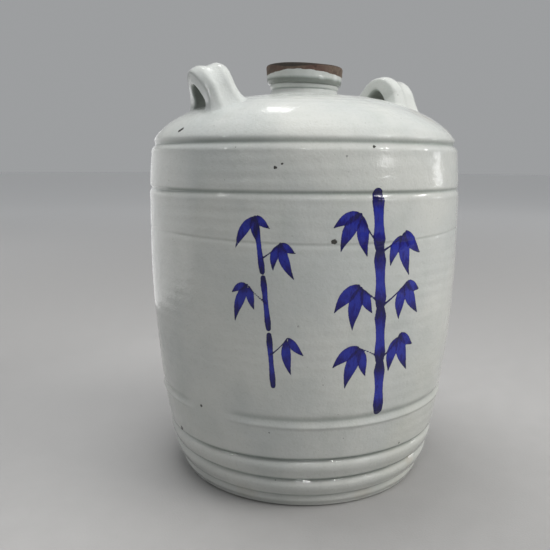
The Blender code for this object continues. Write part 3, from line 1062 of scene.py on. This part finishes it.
def build_bung():
    """A tapered cedar bung, turned by hand, with its end grain slightly sunk."""
    top, bottom = bore_at(BUNG_TOP) - BUNG_GAP, bore_at(BUNG_BOTTOM) - BUNG_GAP
    side = [(r, BUNG_BOTTOM) for r in (0.0015, 0.010, bottom - 0.0012)]
    side += [(bottom, BUNG_BOTTOM + 0.0012), (top, BUNG_TOP - BUNG_CHAMFER)]
    side += [(top - BUNG_CHAMFER, BUNG_TOP), (0.012, BUNG_TOP - 0.0003), (0.0015, BUNG_TOP - 0.0004)]
    line = eased(side, BUNG_STEP, 0.0007)
    distance = np.arange(len(line))[:, None] * BUNG_STEP
    stray = -0.00012 + 0.00010 * bung_facets(NECK_ANGLES, distance)
    radius = line[:, :1] + stray * smooth(line[:, :1] / 0.01)
    height = np.clip(line[:, 1:], BUNG_BOTTOM, BUNG_TOP)
    points = around(radius, height, NECK_ANGLES)
    bung = grid_object("cedar_bung", points, close_rows=False, caps="rows")
    part_of_jar(bung, "stopper", (CEDAR_WOOD,), body="stopper")


# ---- ears

EAR_RING = 80
EAR_STEP = 0.0009
EAR_CLEAR = 0.0035  # how high above the shoulder the strap gives way to the skirt at its root
SKIRT_ROWS = 16
SKIRT_REACH = 0.0058  # how far out from the strap the skirt's clay is wiped
ear_lumps = {"handle_left": ripples(51, 14, 3, 0.030), "handle_right": ripples(61, 14, 3, 0.030)}
ear_smears = {"handle_left": ripples(52, 6, 4, 1.0), "handle_right": ripples(62, 6, 4, 1.0)}


def ear_place(name, angle):
    """Where an ear stands on the shoulder, as in the CAD model."""
    rise = shoulder_height(EAR_RADIUS + 0.012) - shoulder_height(EAR_RADIUS - 0.012)
    tip = Matrix.Rotation(EAR_LEAN * math.atan2(float(rise), 0.024), 4, "X")
    place = Matrix.Translation((0.0, EAR_RADIUS, float(shoulder_height(EAR_RADIUS))))
    off_square = Matrix.Rotation(EAR_TURN[name], 4, "Z")
    return Matrix.Rotation(angle - math.pi / 2, 4, "Z") @ place @ off_square @ tip


def ear_line(rise):
    """The middle of the strap: (sideways, up, thickness) from just above one root to the other."""
    stations = []
    for angle in np.linspace(0.0, math.pi, 60):
        share = math.sin(angle)
        sideways = EAR_HALF_SPAN * math.cos(angle) * (1 + EAR_SPREAD * (1 - share))
        thickness = EAR_ROOT_THICKNESS + (EAR_THICKNESS - EAR_ROOT_THICKNESS) * share
        stations.append((sideways, rise * share, thickness))
    return eased(stations, EAR_STEP, 0.002)


def strap_ring(count):
    """The strap's section, 1 wide and 1 thick each way: square inside, rounded outside, with two low ribs."""
    angle = np.linspace(0, math.tau, count, endpoint=False)
    c, s = np.cos(angle), np.sin(angle)
    outer = s > 0
    across = np.sign(c) * np.abs(c) ** np.where(outer, 0.40, 0.34)
    out = np.sign(s) * np.abs(s) ** np.where(outer, 0.50, 0.40)
    ribs = -0.10 * np.cos(across * math.tau) * np.clip(s, 0, 1)
    return across, out * np.where(outer, 0.93, 1.0) + ribs


def skin_height(x, y):
    """Height of the finished shoulder under points on it."""
    return shoulder_height(np.hypot(x, y)) - INSET


def skirt(foot, above, smear):
    """Clay wiped out from an ear's root on to the shoulder: rings that follow the leg's slant down from foot,
    the ring after above, and spread and sink into the shoulder."""
    rings = []
    ground = skin_height(foot[:, 0], foot[:, 1])
    lift = foot[:, 2] - ground
    step = (foot - above).mean(0)
    slant = step[:2] / step[2]
    outward = foot[:, :2] - foot.mean(0)[:2]
    outward /= np.linalg.norm(outward, axis=1)[:, None]
    angle = np.arctan2(outward[:, 1], outward[:, 0])
    reach = SKIRT_REACH * (1 + 0.30 * smear(angle, 0.0))
    for share in np.linspace(0, 1, SKIRT_ROWS + 1)[1:]:
        kept = (1 - share) ** 2.2
        spread = reach * share**1.7
        x = foot[:, 0] + outward[:, 0] * spread - slant[0] * lift * (1 - kept)
        y = foot[:, 1] + outward[:, 1] * spread - slant[1] * lift * (1 - kept)
        height = skin_height(x, y) + lift * kept - 0.0004 * share**2
        rings.append(np.column_stack([x, y, height]))
    return rings


def build_ear(name, angle):
    place = np.array(ear_place(name, angle))
    line = ear_line(EAR_RISE[name])
    middle, thickness = line[:, :2], line[:, 2]
    tangent = np.gradient(middle, axis=0)
    tangent /= np.linalg.norm(tangent, axis=1)[:, None]
    across, out = strap_ring(EAR_RING)
    lumps = ear_lumps[name]
    rings = []
    for k, (point, ahead, thick) in enumerate(zip(middle, tangent, thickness)):
        stray = 0.00022 * lumps(np.linspace(0, math.tau, EAR_RING, endpoint=False), k * EAR_STEP)
        fatter = 1 + 0.16 * (1 - np.abs(2 * k / (len(middle) - 1) - 1))
        depth = out * (thick / 2 - 0.0003) * np.where(out < 0, fatter, 1.0) + np.sign(out) * stray
        sideways = point[0] + depth * ahead[1]
        up = point[1] - depth * ahead[0]
        crown = point[1] / EAR_RISE[name]
        width = across * (EAR_WIDTH / 2) * (0.77 + 0.23 * crown) + EAR_BULGE * crown + np.sign(across) * stray
        local = np.column_stack([sideways, width, up, np.ones(EAR_RING)])
        rings.append((local @ place.T)[:, :3])
    clear = [ring for ring in rings if (ring[:, 2] - skin_height(ring[:, 0], ring[:, 1])).min() > EAR_CLEAR]
    first, last = clear[0], clear[-1]
    smear = ear_smears[name]
    before = skirt(first, clear[1], smear)[::-1]
    after = skirt(last, clear[-2], smear)
    points = np.stack(before + clear + after)
    # Painted shade: heavy on the strap's inner face round the hole, lighter on its edges, faint on the rest.
    values = {"pool": np.where(np.abs(across) < 0.97, np.clip(-2.6 * out - 0.9, 0.1, 1.5), 0.35)}
    ear = grid_object(f"ear_{name.split('_')[1]}", points, None, values, close_rows=False, caps="rows")
    part_of_jar(ear, name, (GLAZE,))


# ---- floor, light and camera

FLOOR_RADIUS = 14.0
LAMP_TARGET = 0.25  # the height on the jar's axis that the lamps face
WORLD_STRENGTH = 0.35
WARM, PLAIN = (1.0, 0.98, 0.95), (1.0, 1.0, 1.0)
LIGHTS, SHOWS = "diffuse", "glossy"  # a lamp lights the surface, or shows in it as a reflection


def build_floor():
    """A wide pale floor, paler far off so that it meets the backdrop softly."""
    g = Graph("studio_floor")
    grain = g.noise(40.0, 4.0, 0.6)
    colour = g.mix(grain, (0.35, 0.345, 0.34, 1), (0.40, 0.395, 0.39, 1))
    away = g.add("VectorMath", {0: g.place}, operation="LENGTH").outputs["Value"]
    colour = g.mix(g.step(away, 0.5, 3.5), colour, (0.93, 0.93, 0.93, 1))
    g.relief(g.times(g.noise(600.0, 2.0), 0.0002))
    material = g.finish(colour, g.step(grain, 0.2, 0.8, 0.55, 0.7), IOR=1.4)
    radii = np.append(0.002, np.geomspace(0.1, FLOOR_RADIUS, 40))[:, None]
    angles = np.linspace(0, math.tau, 128, endpoint=False)
    floor = grid_object("studio_floor", around(radii, 0.0 * radii, angles)[::-1], close_rows=False)
    floor.data.materials.append(material)


def lamp(name, azimuth_deg, elevation_deg, distance, size, watts, does, colour=PLAIN):
    """A rectangular lamp that faces the jar, azimuth about +Z from the camera's side. The lamps that light
    the jar don't show in its glaze, and the ones that show in it don't light it."""
    azimuth = math.radians(CAMERA_AZIMUTH + azimuth_deg)
    elevation = math.radians(elevation_deg)
    level = math.cos(elevation)
    out = Vector((math.sin(azimuth) * level, -math.cos(azimuth) * level, math.sin(elevation)))
    data = bpy.data.lights.new(name, "AREA")
    data.shape = "RECTANGLE"
    data.size, data.size_y = size
    data.energy = watts
    data.color = colour
    obj = bpy.data.objects.new(name, data)
    obj.location = Vector((0, 0, LAMP_TARGET)) + out * distance
    obj.rotation_euler = (-out).to_track_quat("-Z", "Y").to_euler()
    obj.visible_camera = False
    obj.visible_glossy = does == SHOWS
    obj.visible_diffuse = does == LIGHTS
    bpy.context.scene.collection.objects.link(obj)


def build_light():
    lamp("overhead", 222, 79, 1.15, (0.7, 0.7), 9.7, LIGHTS)
    lamp("ceiling", 22, 60, 1.5, (0.8, 0.5), 6.4, LIGHTS)
    lamp("right_window", 76, 31, 2.4, (1.5, 1.5), 37.0, LIGHTS, WARM)
    lamp("left_wall", -118, 30, 2.0, (1.4, 1.0), 5.2, LIGHTS)
    lamp("left_reflection", -128, -3.4, 0.5, (1.2, 0.33), 0.75, SHOWS)
    lamp("overhead_glint", 192, 56, 2.2, (0.17, 0.07), 1.1, SHOWS)
    lamp("ceiling_glint", 4, 28, 2.2, (0.14, 0.06), 3.0, SHOWS)
    lamp("second_ceiling_glint", 31, 32, 2.2, (0.10, 0.05), 1.8, SHOWS)
    lamp("left_ceiling_glint", -62, 30, 2.2, (0.12, 0.06), 2.4, SHOWS)
    lamp("right_ceiling_glint", 66, 38, 2.2, (0.18, 0.07), 4.2, SHOWS)
    lamp("far_right_glint", 98, 26, 2.2, (0.10, 0.08), 2.6, SHOWS)
    lamp("window_glint", 58, 12, 2.4, (0.20, 0.26), 2.0, SHOWS)
    lamp("left_glint", -42, 15, 2.4, (0.20, 0.14), 0.7, SHOWS)
    lamp("right_glint", 108, 5, 2.4, (0.16, 0.25), 1.2, SHOWS)
    world = bpy.data.worlds.new("studio")
    world.use_nodes = True
    background = world.node_tree.nodes["Background"]
    background.inputs["Color"].default_value = (0.96, 0.98, 1.0, 1)
    background.inputs["Strength"].default_value = WORLD_STRENGTH
    bpy.context.scene.world = world


def build_camera():
    camera = bpy.data.cameras.new("camera")
    camera.lens = CAMERA_LENS
    camera.sensor_width = 36.0
    camera.clip_start, camera.clip_end = 0.01, 60.0
    obj = bpy.data.objects.new("camera", camera)
    azimuth = math.radians(CAMERA_AZIMUTH)
    obj.location = (CAMERA_DISTANCE * math.sin(azimuth), -CAMERA_DISTANCE * math.cos(azimuth), CAMERA_HEIGHT)
    heading = Matrix.Rotation(azimuth + math.radians(CAMERA_HEADING), 4, "Z")
    pitch = Matrix.Rotation(math.radians(90 - CAMERA_PITCH), 4, "X")
    roll = Matrix.Rotation(math.radians(CAMERA_ROLL), 4, "Z")
    obj.rotation_euler = (heading @ pitch @ roll).to_euler()
    bpy.context.scene.collection.objects.link(obj)
    bpy.context.scene.camera = obj


build_body()
build_neck()
build_lip()
build_bung()
build_ear("handle_left", math.pi + EAR_FORWARD)
build_ear("handle_right", -EAR_FORWARD)
build_floor()
build_light()
build_camera()
bpy.context.scene.view_settings.view_transform = "Standard"
